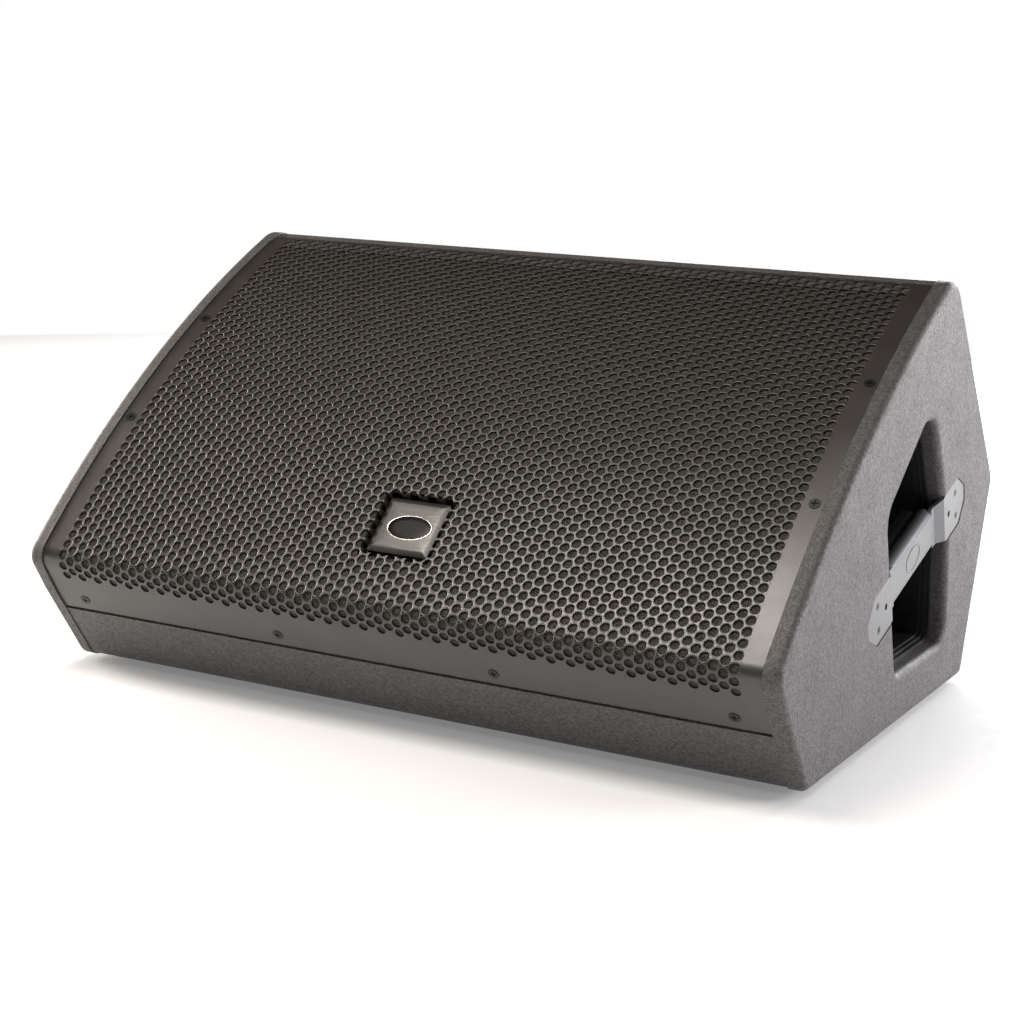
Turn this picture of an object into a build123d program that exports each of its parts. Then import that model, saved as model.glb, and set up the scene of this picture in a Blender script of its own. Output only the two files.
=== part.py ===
from build123d import *
import math
import os

os.makedirs("parts", exist_ok=True)

# ---------------------------------------------------------------- dimensions
WIDTH = 710.0                 # over both side panels
DEEP = 403.1                  # length of the underside, sharp corner to corner
REAR_Y, REAR_Z = 461.8, 180.0  # rearmost corner
CROWN_Y, CROWN_Z = 303.8, 379.6  # top corner
CHIN_Y, CHIN_Z = -73.1, 106.4  # foremost corner, where the grille turns down
LIP_Y, LIP_Z = -51.1, 71.3    # second bend, below the chin
BULGE = 23.9                  # rise of the curved face over its chord
R_TOE, R_HEEL, R_REAR, R_CROWN, R_CHIN = 16.0, 10.0, 14.0, 29.0, 17.0
PANEL_T = 15.0                # side panel
BOARD_T = 15.0                # shell boards
BAFFLE_T = 18.0
EDGE_R = 6.5                  # rounding of the side panels' outer edges
FOOT_H = 5.0

SHEET_T = 1.5                 # grille steel
SHEET_IN = 1.6                # grille outer face below the panel outline
GRILLE_GAP = 0.8              # between the grille and each side panel
GRILLE_TOP_S = 447.0          # arc length from the chin to the grille's top edge
GRILLE_HALF = WIDTH / 2 - PANEL_T - GRILLE_GAP
GRILLE_FOOT = 67.0            # from the toe up the lip to the grille's lower edge
FOAM_T = 4.0
DENT = 64.0                   # square recess pressed into the grille for the badge
DENT_DEPTH = 8.5
DENT_S = 88.0                 # arc length of its centre
BADGE_W, BADGE_H = 58.0, 55.0
BADGE_T = 6.5
BADGE_BEVEL = 4.5
CLEAT_W = 16.0
BAFFLE_IN = 14.0              # baffle front below the chord of the face
SEAT = 0.3                    # air left round soft pieces

HANDLE_Y, HANDLE_Z, HANDLE_TILT = 247.4, 139.2, 17.9
HANDLE_HALF = 128.6
HANDLE_W = 44.6
BOLT_A = 84.2                 # large screws along the bar
SMALL_A, SMALL_B = 103.6, 11.2
OPENING = [(205.4, 45.1), (342.7, 45.5), (329.5, 140.5), (306.2, 187.4), (268.9, 255.8), (243.4, 255.7), (157.3, 190.0)]
OPENING_R = [16, 16, 30, 30, 14, 14, 20]
CUP_DEPTH = 66.0
CUP_T = 2.5
CUP_LIPS = ((4.0, 3.0), (8.0, 4.5), (CUP_DEPTH - PANEL_T, 6.0))  # each step's depth behind the panel, and how far it stands in

WOOFER_X, WOOFER_S = -112.0, 232.0
HORN_X, HORN_S = 200.0, 232.0
PORTS = [(140.0, 92.0), (240.0, 92.0)]
CONE_TRAVEL = 6.0

# ------------------------------------------------------------ profile geometry
V = [(0.0, 0.0), (DEEP, 0.0), (REAR_Y, REAR_Z), (CROWN_Y, CROWN_Z), (CHIN_Y, CHIN_Z), (LIP_Y, LIP_Z)]
TOE, HEEL, REAR, CROWN, CHIN, LIP = range(6)
FLOOR, REAR_LOW, REAR_UP, FACE, UNDER, FRONT = range(6)   # edge i runs from corner i to i + 1


def unit(a, b):
    d = math.hypot(b[0] - a[0], b[1] - a[1])
    return ((b[0] - a[0]) / d, (b[1] - a[1]) / d)


CHORD = math.dist(V[CROWN], V[CHIN])
UP = unit(V[CHIN], V[CROWN])          # up the sloping face
OUT = (-UP[1], UP[0])                 # out of the face
ARC_R = (CHORD ** 2 / 4 + BULGE ** 2) / (2 * BULGE)
MID = ((V[CHIN][0] + V[CROWN][0]) / 2, (V[CHIN][1] + V[CROWN][1]) / 2)
ARC_C = (MID[0] + OUT[0] * (BULGE - ARC_R), MID[1] + OUT[1] * (BULGE - ARC_R))
ARC_HALF = math.asin(CHORD / 2 / ARC_R)


def on_arc(s, inset=0.0):
    """Point on the curved face, s up from the chin, below the outline by inset."""
    a = s / ARC_R - ARC_HALF
    r = ARC_R - inset
    return (ARC_C[0] + r * (UP[0] * math.sin(a) + OUT[0] * math.cos(a)), ARC_C[1] + r * (UP[1] * math.sin(a) + OUT[1] * math.cos(a)))


def slope(s, w):
    """Point by distance s up the chord from the chin and w out from it."""
    return (V[CHIN][0] + UP[0] * s + OUT[0] * w, V[CHIN][1] + UP[1] * s + OUT[1] * w)


def chord_line(inset):
    """The face edge as a straight line, for the flat baffle."""
    return slope(CHORD, -inset), slope(0, -inset)


def edge_line(i, inset):
    a, b = V[i], V[(i + 1) % 6]
    d = unit(a, b)
    n = (-d[1] * inset, d[0] * inset)
    return (a[0] + n[0], a[1] + n[1]), (b[0] + n[0], b[1] + n[1])


def meet(l1, l2):
    (ax, ay), (bx, by) = l1
    (cx, cy), (dx, dy) = l2
    den = (ax - bx) * (cy - dy) - (ay - by) * (cx - dx)
    p, q = ax * by - ay * bx, cx * dy - cy * dx
    return ((p * (cx - dx) - (ax - bx) * q) / den, (p * (cy - dy) - (ay - by) * q) / den)


def meet_arc(line, inset, near):
    """Where a line crosses the curved face at the given inset, the crossing nearest to near."""
    (ax, ay), b = line
    d = unit((ax, ay), b)
    ox, oy = ax - ARC_C[0], ay - ARC_C[1]
    m, c = ox * d[0] + oy * d[1], ox * ox + oy * oy - (ARC_R - inset) ** 2
    hits = [(ax + d[0] * t, ay + d[1] * t) for t in (-m + math.sqrt(m * m - c), -m - math.sqrt(m * m - c))]
    return min(hits, key=lambda h: math.dist(h, near))


def corner(i, before, after):
    """Outline corner i with the edges before and after it moved in."""
    if i - 1 == FACE:
        return meet_arc(edge_line(i, after), before, V[i])
    if i == FACE:
        return meet_arc(edge_line(i - 1, before), after, V[i])
    return meet(edge_line((i - 1) % 6, before), edge_line(i, after))


# -------------------------------------------------------------- solid helpers
def yz_face(points, arcs=()):
    """Face in the side view; arcs maps the index of a segment to its radius about the face's centre."""
    arcs, lines = dict(arcs), []
    for k, p in enumerate(points):
        q = points[(k + 1) % len(points)]
        if k in arcs:
            a, b = (math.atan2(t[1] - ARC_C[1], t[0] - ARC_C[0]) for t in (p, q))
            m = (a + b) / 2
            lines.append(ThreePointArc(p, (ARC_C[0] + arcs[k] * math.cos(m), ARC_C[1] + arcs[k] * math.sin(m)), q))
        else:
            lines.append(Line(p, q))
    return Plane.YZ * make_face(lines)


def slab(face, x0, x1):
    """The side-view face, drawn out from x0 to x1."""
    return Pos(x0, 0, 0) * extrude(face, amount=x1 - x0, dir=(1, 0, 0))


def rounded(solid, spots):
    """Round the edges that run across the cabinet and pass nearest to each (y, z), by radius."""
    for (y, z), r in spots:
        across = solid.edges().filter_by(Axis.X)
        edge = min(across, key=lambda e: math.dist((e.center().Y, e.center().Z), (y, z)))
        solid = fillet(edge, r)
    return solid


def turned(*points):
    """Revolve an (r, z) outline about Z."""
    return revolve(Plane.XZ * make_face(Polyline(*points, close=True)), Axis.Z)


def tube(r_out, r_in, z0, z1):
    ring = Circle(r_out) - Circle(r_in) if r_in else Circle(r_out)
    return Pos(0, 0, z0) * extrude(ring, amount=z1 - z0)


def ring_of(solid, radius, count, start=0.0):
    """Copies of a solid round Z."""
    return [Rot(0, 0, start + 360 * k / count) * Pos(radius, 0, 0) * solid for k in range(count)]


def dome(base_r, rise, thick, z):
    """Thin spherical cap standing on z."""
    r = (base_r ** 2 + rise ** 2) / (2 * rise)
    shell = Sphere(r) - Sphere(r - thick)
    return Pos(0, 0, z + rise - r) * shell & Pos(0, 0, z + rise) * Box(2 * base_r + 4, 2 * base_r + 4, 2 * rise)


def less(body, tools):
    for t in tools:
        body -= t
    return body


def mirror_x(solid):
    return mirror(solid, about=Plane.YZ)


def face_plane(x, s, w):
    """Local frame on the sloping face: X across, Y up the slope, Z outwards."""
    y, z = slope(s, w)
    return Plane(origin=(x, y, z), x_dir=(1, 0, 0), z_dir=(0, OUT[0], OUT[1])).location


def sunk_screw(head_r, head_h, shank_r, length):
    """Countersunk screw with no recess, head top at z 0, pointing down."""
    return turned((0, 0), (head_r, 0), (shank_r, -head_h), (shank_r, -length), (0, -length))


def cross_slot(screw, head_r):
    """The screw with a cross-shaped driver recess in its head."""
    return less(screw, [Rot(0, 0, turn) * Pos(0, 0, -0.6) * Box(head_r * 1.1, head_r * 0.22, 1.4) for turn in (0, 90)])


def pan_screw(head_r, head_h, shank_r, length):
    """Round-headed screw, head seat at z 0, pointing down."""
    body = tube(head_r, 0, 0, head_h) + tube(shank_r, 0, -length, 0)
    body = fillet(body.edges().filter_by(GeomType.CIRCLE).group_by(Axis.Z)[-1], head_h * 0.45)
    return body - extrude(Pos(0, 0, head_h) * RegularPolygon(head_r * 0.42, 6), amount=-head_h * 0.6)


NODES = {}


def add(name, shape):
    NODES[name] = shape


# ----------------------------------------------------------------- side panel
def outline(inset):
    pts = [corner(i, inset, inset) for i in range(6)]
    body = yz_face(pts, {FACE: ARC_R - inset})
    return body, pts


def handle_frame():
    t = math.radians(HANDLE_TILT)
    return Plane(origin=(WIDTH / 2, HANDLE_Y, HANDLE_Z), x_dir=(0, math.cos(t), math.sin(t)), z_dir=(1, 0, 0)).location


def opening_face(grow):
    lines = Polyline(*OPENING, close=True)
    face = make_face(lines)
    for p, r in zip(OPENING, OPENING_R):
        corner_v = min(face.vertices(), key=lambda v: math.dist((v.X, v.Y), p))
        face = fillet(corner_v, r)
    if grow:
        face = offset(face, amount=grow)
    return Plane.YZ * face


def bar_outline(grow=0.0):
    w, n = HANDLE_W / 2, 18.5
    half = [(-HANDLE_HALF, 7), (-HANDLE_HALF + 18, w), (-76, w), (-60, n), (62, n), (78, w), (HANDLE_HALF - 18, w), (HANDLE_HALF, 7)]
    pts = half + [(a, -b) for a, b in reversed(half)]
    face = make_face(Polyline(*pts, close=True))
    face = fillet(face.vertices(), 6)
    return offset(face, amount=grow) if grow else face


def handle_pocket():
    w = HANDLE_W / 2
    pts = [(-HANDLE_HALF, 7), (-HANDLE_HALF + 18, w), (HANDLE_HALF - 18, w), (HANDLE_HALF, 7)]
    face = make_face(Polyline(*(pts + [(a, -b) for a, b in reversed(pts)]), close=True))
    return extrude(offset(fillet(face.vertices(), 6), amount=0.6), amount=-3.6)


HANDLE = handle_frame()
BOLT = sunk_screw(8.0, 4.2, 4.0, 14.0)
SMALL = sunk_screw(3.6, 2.0, 1.8, 13.0)
bolt_at = [HANDLE * Pos(a, 0, -0.6) for a in (-BOLT_A, BOLT_A)]
small_at = [HANDLE * Pos(a, b, -0.6) for a in (-SMALL_A, SMALL_A) for b in (-SMALL_B, SMALL_B)]
handle_holes = [at * BOLT for at in bolt_at] + [at * SMALL for at in small_at]
bolts = [at * (BOLT - extrude(RegularPolygon(3.2, 6), amount=-3.0)) for at in bolt_at]
smalls = [at * cross_slot(SMALL, 3.6) for at in small_at]

face, pts = outline(0.0)
panel = slab(face, WIDTH / 2 - PANEL_T, WIDTH / 2)
panel = rounded(panel, zip(pts, (R_TOE, R_HEEL, R_REAR, R_CROWN, R_CHIN)))
panel -= slab(opening_face(0), WIDTH / 2 - PANEL_T - 1, WIDTH / 2 + 1)
panel = fillet(panel.faces().sort_by(Axis.X)[-1].edges(), EDGE_R)
panel = less(panel - HANDLE * handle_pocket(), handle_holes)

# ------------------------------------------------------------- handle and cup
flat = [(-HANDLE_HALF, -0.6), (-70, -0.6), (-58, -6.0), (60, -6.0), (72, -0.6), (HANDLE_HALF, -0.6)]
strip = flat + [(a, n - 3.0) for a, n in reversed(flat)]
bar = extrude(Plane.XZ * make_face(Polyline(*strip, close=True)), amount=HANDLE_W, both=True)
bar = bar & extrude(bar_outline(), amount=-40)
window = Pos(1, 0, -20) * Box(104, 60, 60)
flat_face = Pos(1, -1, -7.5) * Box(104, 26, 3)
roll_top = extrude(Plane.YZ * make_face([ThreePointArc((12, -6), (19, -13), (12, -20)), Line((12, -20), (12, -17)), ThreePointArc((12, -17), (16, -13), (12, -9)), Line((12, -9), (12, -6))]), amount=52, both=True)
roll_low = extrude(Plane.YZ * make_face([ThreePointArc((-14, -6), (-19, -11), (-14, -16)), Line((-14, -16), (-14, -13)), ThreePointArc((-14, -13), (-16, -11), (-14, -9)), Line((-14, -9), (-14, -6))]), amount=52, both=True)
bar = (bar - window) + flat_face + Pos(1, 0, 0) * roll_top + Pos(1, 0, 0) * roll_low
bar = less(HANDLE * bar, handle_holes)
grip = fillet((Pos(1, 0.5, -28.5) * Box(98, 33, 16)).edges().filter_by(Axis.X), 5.0) + Pos(1, -2.7, -15) * Box(98, 21, 12)
grip = HANDLE * grip

cup_outer = WIDTH / 2 - PANEL_T
cup_floor = WIDTH / 2 - CUP_DEPTH
cup = slab(opening_face(16), cup_outer - 3, cup_outer) + slab(opening_face(-CUP_LIPS[0][1] + CUP_T), cup_floor - CUP_T, cup_outer)
cup = less(cup, [slab(opening_face(-lip), cup_outer - depth, cup_outer + 1) for depth, lip in CUP_LIPS])

add("side_right", panel)
add("side_left", mirror_x(panel))
for side, flip in (("right", lambda s: s), ("left", mirror_x)):
    add("handle_bar_" + side, flip(bar))
    add("handle_grip_" + side, flip(grip))
    add("handle_cup_" + side, flip(cup))
add("handle_bolts", Compound(bolts + [mirror_x(b) for b in bolts]))
add("handle_screws", Compound(smalls + [mirror_x(b) for b in smalls]))

# --------------------------------------------------------------- shell boards
INNER = WIDTH / 2 - PANEL_T
limit_face, limit_pts = outline(1.0)
limit = rounded(slab(limit_face, -INNER, INNER), zip(limit_pts, (R_TOE - 1, R_HEEL - 1, R_REAR - 1, R_CROWN - 1, R_CHIN - 1)))


def board(points, arcs=()):
    return slab(yz_face(points, arcs), -INNER, INNER) & limit


front_in = SHEET_IN + SHEET_T           # face of the front board behind the grille's turn-down
bt = BOARD_T
floor_board = board([corner(TOE, 1, 0.5), corner(HEEL, 0.5, 1), corner(HEEL, bt, bt + 1), corner(TOE, bt + 3, bt)])
rear_low = board([corner(HEEL, 0.5, 1), corner(REAR, 1, 1), corner(REAR, bt + 1, bt + 1), corner(HEEL, bt, bt + 1)])
crown_in = BAFFLE_IN + BAFFLE_T
rear_up = board([corner(REAR, 1, 1), meet(edge_line(REAR_UP, 1), chord_line(crown_in)), meet(edge_line(REAR_UP, bt + 1), chord_line(crown_in)), corner(REAR, bt + 1, bt + 1)])

top_low = meet(edge_line(REAR_UP, 1), chord_line(crown_in))
top_edge = corner(CROWN, 1, 3.5)
top_front = on_arc(GRILLE_TOP_S + 0.6, 3.5)
top_back = on_arc(GRILLE_TOP_S + 0.6, SHEET_IN + SHEET_T)
seat_back = on_arc(GRILLE_TOP_S - 16, SHEET_IN + SHEET_T)
seat_low = slope(GRILLE_TOP_S - 14, -BAFFLE_IN)
seat_deep = slope(GRILLE_TOP_S - 14, -crown_in)
top_rail = slab(yz_face([top_low, top_edge, top_front, top_back, seat_back, seat_low, seat_deep], {1: ARC_R - 3.5, 3: ARC_R - SHEET_IN - SHEET_T}), -INNER, INNER) & limit

step = unit(V[TOE], V[LIP])
n_in = (-step[1] * -1, step[0] * -1)    # into the cabinet from the front edge


def front_pt(along, inset):
    return (step[0] * along + n_in[0] * inset, step[1] * along + n_in[1] * inset)


rebate = GRILLE_FOOT - 3.0
baffle_low_front = meet(edge_line(UNDER, front_in), chord_line(BAFFLE_IN))
baffle_low_back = meet(edge_line(UNDER, bt + 3), chord_line(crown_in))
front_low = slab(yz_face([
    corner(TOE, 1, 0.5), corner(TOE, bt + 3, bt), meet(edge_line(FRONT, bt + 3), edge_line(UNDER, bt + 3)), baffle_low_back,
    meet(edge_line(UNDER, front_in), chord_line(crown_in)), corner(LIP, front_in, front_in), front_pt(rebate, front_in), front_pt(rebate, 1.0)]), -INNER, INNER) & limit
baffle = slab(yz_face([meet(edge_line(UNDER, front_in), chord_line(crown_in)), seat_deep, seat_low, baffle_low_front]), -INNER, INNER)

# ---------------------------------------------------------------------- woofer
AT = face_plane(WOOFER_X, WOOFER_S, -BAFFLE_IN)
basket = turned((194, 0), (194, 5), (166, 5), (166, -6), (149, -44), (95, -100), (44, -100), (44, -104), (99, -104), (153, -46), (174, -8), (174, 0))
window = Pos(0, 0, -100) * extrude(make_face([ThreePointArc((146 * math.cos(math.radians(-19)), 146 * math.sin(math.radians(-19))), (146, 0), (146 * math.cos(math.radians(19)), 146 * math.sin(math.radians(19)))),
                                              Line((146 * math.cos(math.radians(19)), 146 * math.sin(math.radians(19))), (103 * math.cos(math.radians(15)), 103 * math.sin(math.radians(15)))),
                                              ThreePointArc((103 * math.cos(math.radians(15)), 103 * math.sin(math.radians(15))), (103, 0), (103 * math.cos(math.radians(-15)), 103 * math.sin(math.radians(-15)))),
                                              Line((103 * math.cos(math.radians(-15)), 103 * math.sin(math.radians(-15))), (146 * math.cos(math.radians(-19)), 146 * math.sin(math.radians(-19))))]), amount=80)
basket = less(basket, [Rot(0, 0, 60 * k) * window for k in range(6)]) + tube(128, 113, -74, -72)
w_bolts = ring_of(Pos(0, 0, 8) * pan_screw(5.5, 3.6, 3.0, 36), 184, 8, 22.5)
t_nuts = ring_of(tube(8.0, 0, -BAFFLE_T - 1.5, -BAFFLE_T) + tube(4.4, 0, -BAFFLE_T, -BAFFLE_T + 11), 184, 8, 22.5)
basket = less(basket, w_bolts)
gasket = less(tube(193.5, 177, 5, 8), w_bolts)
surround = revolve(Plane.XZ * make_face([ThreePointArc((150.6, 5.3), (159, 13.7), (167.4, 5.3)), Line((167.4, 5.3), (176, 5.3)), Line((176, 5.3), (176, 6.3)), Line((176, 6.3), (168.4, 6.3)), ThreePointArc((168.4, 6.3), (159, 14.9), (149.6, 6.3)), Line((149.6, 6.3), (146, 6.3)), Line((146, 6.3), (146, 5.3)), Line((146, 5.3), (150.6, 5.3))]), Axis.Z)
cone = turned((149.5, 5.0), (140, 3.4), (88, -23), (38.5, -52), (38.5, -53.6), (88, -24.7), (140.4, 2.2), (149.5, 3.8))
former = tube(38.5, 38.0, -116, -46)
winding = tube(39.6, 38.5, -116, -100)
dust_cap = dome(47, 14, 1.0, -46.8)
ripple = [(39.0 + 4.5 * k, -70.5 + (1.6 if k % 2 else -1.6) * (0 < k < 16)) for k in range(17)] + [(119.0, -70.5)]
spider = turned(*(ripple + [(r, z - 0.9) for r, z in reversed(ripple)]))
top_plate = tube(88, 40.4, -112, -104)
magnet = tube(92, 48, -132, -112)
pole = tube(86, 12, -140, -132) + tube(36.8, 12, -132, -106)
add("woofer_basket", AT * basket)
add("woofer_gasket", AT * gasket)
add("woofer_surround", AT * surround)
add("woofer_cone", AT * cone)
add("woofer_dust_cap", AT * dust_cap)
add("coil_former", AT * former)
add("coil_winding", AT * winding)
add("woofer_spider", AT * spider)
add("woofer_top_plate", AT * top_plate)
add("woofer_magnet", AT * magnet)
add("woofer_pole", AT * pole)
add("woofer_bolts", Compound([AT * b for b in w_bolts]))
t_nuts = [less(t, w_bolts) for t in t_nuts]
add("tee_nuts", Compound([AT * t for t in t_nuts]))
baffle = less(baffle, [AT * tube(176, 0, -40, 10)] + [AT * b for b in w_bolts] + [AT * t for t in t_nuts])

# ------------------------------------------------------------------------ horn
AT = face_plane(HORN_X, HORN_S, -BAFFLE_IN)


def flare(w0, h0, w1, h1, z0, z1):
    return loft([Pos(0, 0, z0) * RectangleRounded(w0, h0, 0.14 * h0), Pos(0, 0, z1) * RectangleRounded(w1, h1, 0.49 * h1)])


horn = extrude(RectangleRounded(230, 176, 12), amount=4)
horn += flare(204, 154, 36, 36, 0, -105) + tube(46, 0, -110, -104)
horn -= flare(198, 148, 25.4, 25.4, 0, -105)
horn -= extrude(RectangleRounded(198, 148, 0.14 * 148), amount=5)
horn -= tube(12.7, 0, -111, -104)
H_SCREW = sunk_screw(4.4, 2.4, 2.0, 22)
horn_at = [Pos(x, y, 4) for x in (-104, 0, 104) for y in (-81.5, 81.5)]
horn = less(horn, [at * H_SCREW for at in horn_at])
diaphragm = Rot(180, 0, 0) * dome(34, 10, 0.8, 150.0) + tube(43, 33.4, -150.8, -150)
add("horn", AT * horn)
add("horn_screws", Compound([AT * at * cross_slot(H_SCREW, 4.4) for at in horn_at]))
add("driver_body", AT * tube(50, 12.7, -125, -110))
add("driver_magnet", AT * tube(54, 14, -150, -125))
add("driver_cover", AT * (tube(50, 0, -168, -150) - tube(44, 0, -165, -149)))
add("driver_diaphragm", AT * diaphragm)
baffle = less(baffle, [AT * Pos(0, 0, -15) * Box(208, 158, 60)] + [AT * at * H_SCREW for at in horn_at])

# ----------------------------------------------------------------------- ports
ports = []
for x, s in PORTS:
    at = face_plane(x, s, -BAFFLE_IN)
    ports.append(at * (tube(44, 35, 0, 3) + tube(38, 35, -95, 3)))
    baffle -= at * tube(38, 0, -30, 10)
add("port_tubes", Compound(ports))

# ------------------------------------------------------------ grille and badge


def face_block(inset, past, r_chin, half):
    """Solid behind the grille's surface at an inset, its ends moved past the sheet's own."""
    pts = [on_arc(GRILLE_TOP_S + past, inset), corner(CHIN, inset, inset), corner(LIP, inset, inset), front_pt(GRILLE_FOOT - past, inset), slope(GRILLE_TOP_S / 2, -60)]
    return rounded(slab(yz_face(pts, {0: ARC_R - inset}), -half, half), [(pts[1], r_chin)])


sheet = face_block(SHEET_IN, 0.0, R_CHIN - SHEET_IN, GRILLE_HALF) - face_block(front_in, 6.0, R_CHIN - front_in, GRILLE_HALF + 1)
a = DENT_S / ARC_R - ARC_HALF
dy, dz = on_arc(DENT_S, SHEET_IN)
DENT_AT = Plane(origin=(0, dy, dz), x_dir=(1, 0, 0), z_dir=(0, UP[0] * math.sin(a) + OUT[0] * math.cos(a), UP[1] * math.sin(a) + OUT[1] * math.cos(a))).location
tray = extrude(RectangleRounded(DENT, DENT, 4), amount=-DENT_DEPTH - SHEET_T) - extrude(RectangleRounded(DENT - 2 * SHEET_T, DENT - 2 * SHEET_T, 3), amount=-DENT_DEPTH)
hole = Pos(0, 0, -2) * extrude(RectangleRounded(DENT - 0.4, DENT - 0.4, 3.8), amount=6)
sheet = sheet - DENT_AT * hole + DENT_AT * tray
badge = loft([Pos(0, 0, -DENT_DEPTH + BADGE_T - 1.6) * RectangleRounded(BADGE_W, BADGE_H, 3), Pos(0, 0, -DENT_DEPTH + BADGE_T) * RectangleRounded(BADGE_W - 2 * BADGE_BEVEL, BADGE_H - 2 * BADGE_BEVEL, 1.5)])
badge += extrude(Pos(0, 0, -DENT_DEPTH) * RectangleRounded(BADGE_W, BADGE_H, 3), amount=BADGE_T - 1.6)


def at_front(x, along, inset):
    """Frame on the front edge below the lip, Z outwards."""
    y, z = front_pt(along, inset)
    return Plane(origin=(x, y, z), x_dir=(1, 0, 0), z_dir=(0, -n_in[0], -n_in[1])).location


def at_arc(x, s, inset):
    t = s / ARC_R - ARC_HALF
    y, z = on_arc(s, inset)
    return Plane(origin=(x, y, z), x_dir=(1, 0, 0), z_dir=(0, UP[0] * math.sin(t) + OUT[0] * math.cos(t), UP[1] * math.sin(t) + OUT[1] * math.cos(t))).location


G_SCREW = sunk_screw(4.9, 2.4, 2.0, 17.0)
grille_at = [at_front(x, 79.5, SHEET_IN - 0.5) for x in (28.2 - GRILLE_HALF, -104, 104, GRILLE_HALF - 28.2)]
grille_at += [at_arc(side * (INNER - CLEAT_W / 2 - 0.5), s, SHEET_IN - 0.5) for side in (-1, 1) for s in (162, 300)]
grille_holes = [at * G_SCREW for at in grille_at]
sheet = less(sheet, grille_holes)
cleat_face = yz_face([slope(22, -BAFFLE_IN), slope(GRILLE_TOP_S - 15, -BAFFLE_IN), on_arc(GRILLE_TOP_S - 17, front_in), on_arc(18, front_in)], {2: ARC_R - front_in})
cleats = [less(slab(cleat_face, x, x + CLEAT_W), grille_holes) for x in (-INNER, INNER - CLEAT_W)]
foam_in = front_in + SEAT
foam_top = GRILLE_TOP_S - 17.5
foam_keep = yz_face([slope(-60, SEAT - BAFFLE_IN), slope(foam_top - 30, SEAT - BAFFLE_IN), on_arc(foam_top, 3 * FOAM_T), on_arc(foam_top, -10), slope(-60, 60)])
foam_w = INNER - CLEAT_W - SEAT
foam = face_block(foam_in, 0.0, R_CHIN - foam_in, foam_w) - face_block(foam_in + FOAM_T, 6.0, R_CHIN - foam_in - FOAM_T, foam_w + 1)
foam = foam & slab(foam_keep, -foam_w, foam_w)
foam = foam - DENT_AT * extrude(RectangleRounded(DENT + 2 * SEAT, DENT + 2 * SEAT, 4.3), amount=14, both=True)
front_low = less(front_low, grille_holes)
add("grille", sheet)
add("grille_foam", foam)
add("grille_screws", Compound([at * cross_slot(G_SCREW, 4.9) for at in grille_at]))
add("grille_cleats", Compound(cleats))
add("badge", DENT_AT * badge)

# --------------------------------------------------------------- rear connectors
rd = unit(V[HEEL], V[REAR])
ROUT = (rd[1], -rd[0])


def at_rear(x, along, inset):
    """Frame on the rear lower edge: X across, Z outwards."""
    y, z = V[HEEL][0] + rd[0] * along - ROUT[0] * inset, V[HEEL][1] + rd[1] * along - ROUT[1] * inset
    return Plane(origin=(x, y, z), x_dir=(-1, 0, 0), z_dir=(0, ROUT[0], ROUT[1])).location


PLATE = at_rear(0, 96, 1.0)
plate = extrude(RectangleRounded(170, 100, 8), amount=-2.5)
P_SCREW = sunk_screw(3.8, 2.0, 1.9, 14)
plate_at = [PLATE * Pos(x, y, 0) for x in (-77, 77) for y in (-42, 42)]
plate_holes = [at * P_SCREW for at in plate_at]
JACKS = {"input_jack": -32.0, "link_jack": 32.0}
jack = tube(8.5, 0, 0, 2.2) + tube(6.0, 0, -6.0, 0) + Pos(0, 0, -19) * Box(22, 24, 26) - tube(3.25, 0, -28, 3)
plate = less(PLATE * plate, plate_holes + [PLATE * Pos(x, 4, 0) * tube(6.0, 0, -5, 5) for x in JACKS.values()])
cut_out = Pos(0, 0, -10) * Box(146, 76, 24) + extrude(RectangleRounded(170.6, 100.6, 8.3), amount=-2.5)
rear_low = less(rear_low, [PLATE * cut_out] + plate_holes)
add("connector_plate", plate)
add("plate_screws", Compound([at * cross_slot(P_SCREW, 3.8) for at in plate_at]))
for name, x in JACKS.items():
    add(name, PLATE * Pos(x, 4, 0) * (jack - extrude(Rectangle(60, 60), amount=-2.5) + tube(6.0, 3.25, -2.5, 0)))

# ------------------------------------------------------------------- crossover
cx0, cy0 = 140.0, 170.0
board_z = bt + 8.0
pcb = Pos(cx0, cy0, board_z + 0.8) * Box(170, 120, 1.6)
spots = [(cx0 + x, cy0 + y) for x in (-77, 77) for y in (-52, 52)]
x_screws = [Pos(x, y, board_z + 1.6) * pan_screw(3.4, 2.2, 1.6, 18) for x, y in spots]
pillars = [less(Pos(x, y, 0) * tube(5.0, 0, bt, board_z), x_screws) for x, y in spots]
pcb = less(pcb, x_screws)
floor_board = less(floor_board, x_screws)
top = board_z + 1.6
coils = [Pos(cx0 + x, cy0 + y, 0) * tube(r, r * 0.45, top, top + h) for x, y, r, h in ((-50, 8, 24, 22), (6, 22, 20, 18), (50, -16, 17, 16))]
caps = [Pos(cx0 + x, cy0 + y, top + r) * Rot(0, 90, 0) * Cylinder(r, length) for x, y, r, length in ((-40, -40, 8, 34), (6, -38, 9, 40), (8, -14, 7, 30), (56, 34, 8, 26))]
resistors = [Pos(cx0 + x, cy0 + y, top + 4) * Box(26, 9, 8) for x, y in ((52, 12), (-30, 45))]
add("crossover_board", pcb)
add("crossover_pillars", Compound(pillars))
add("crossover_screws", Compound(x_screws))
add("inductors", Compound(coils))
add("capacitors", Compound(caps))
add("resistors", Compound(resistors))

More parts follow.
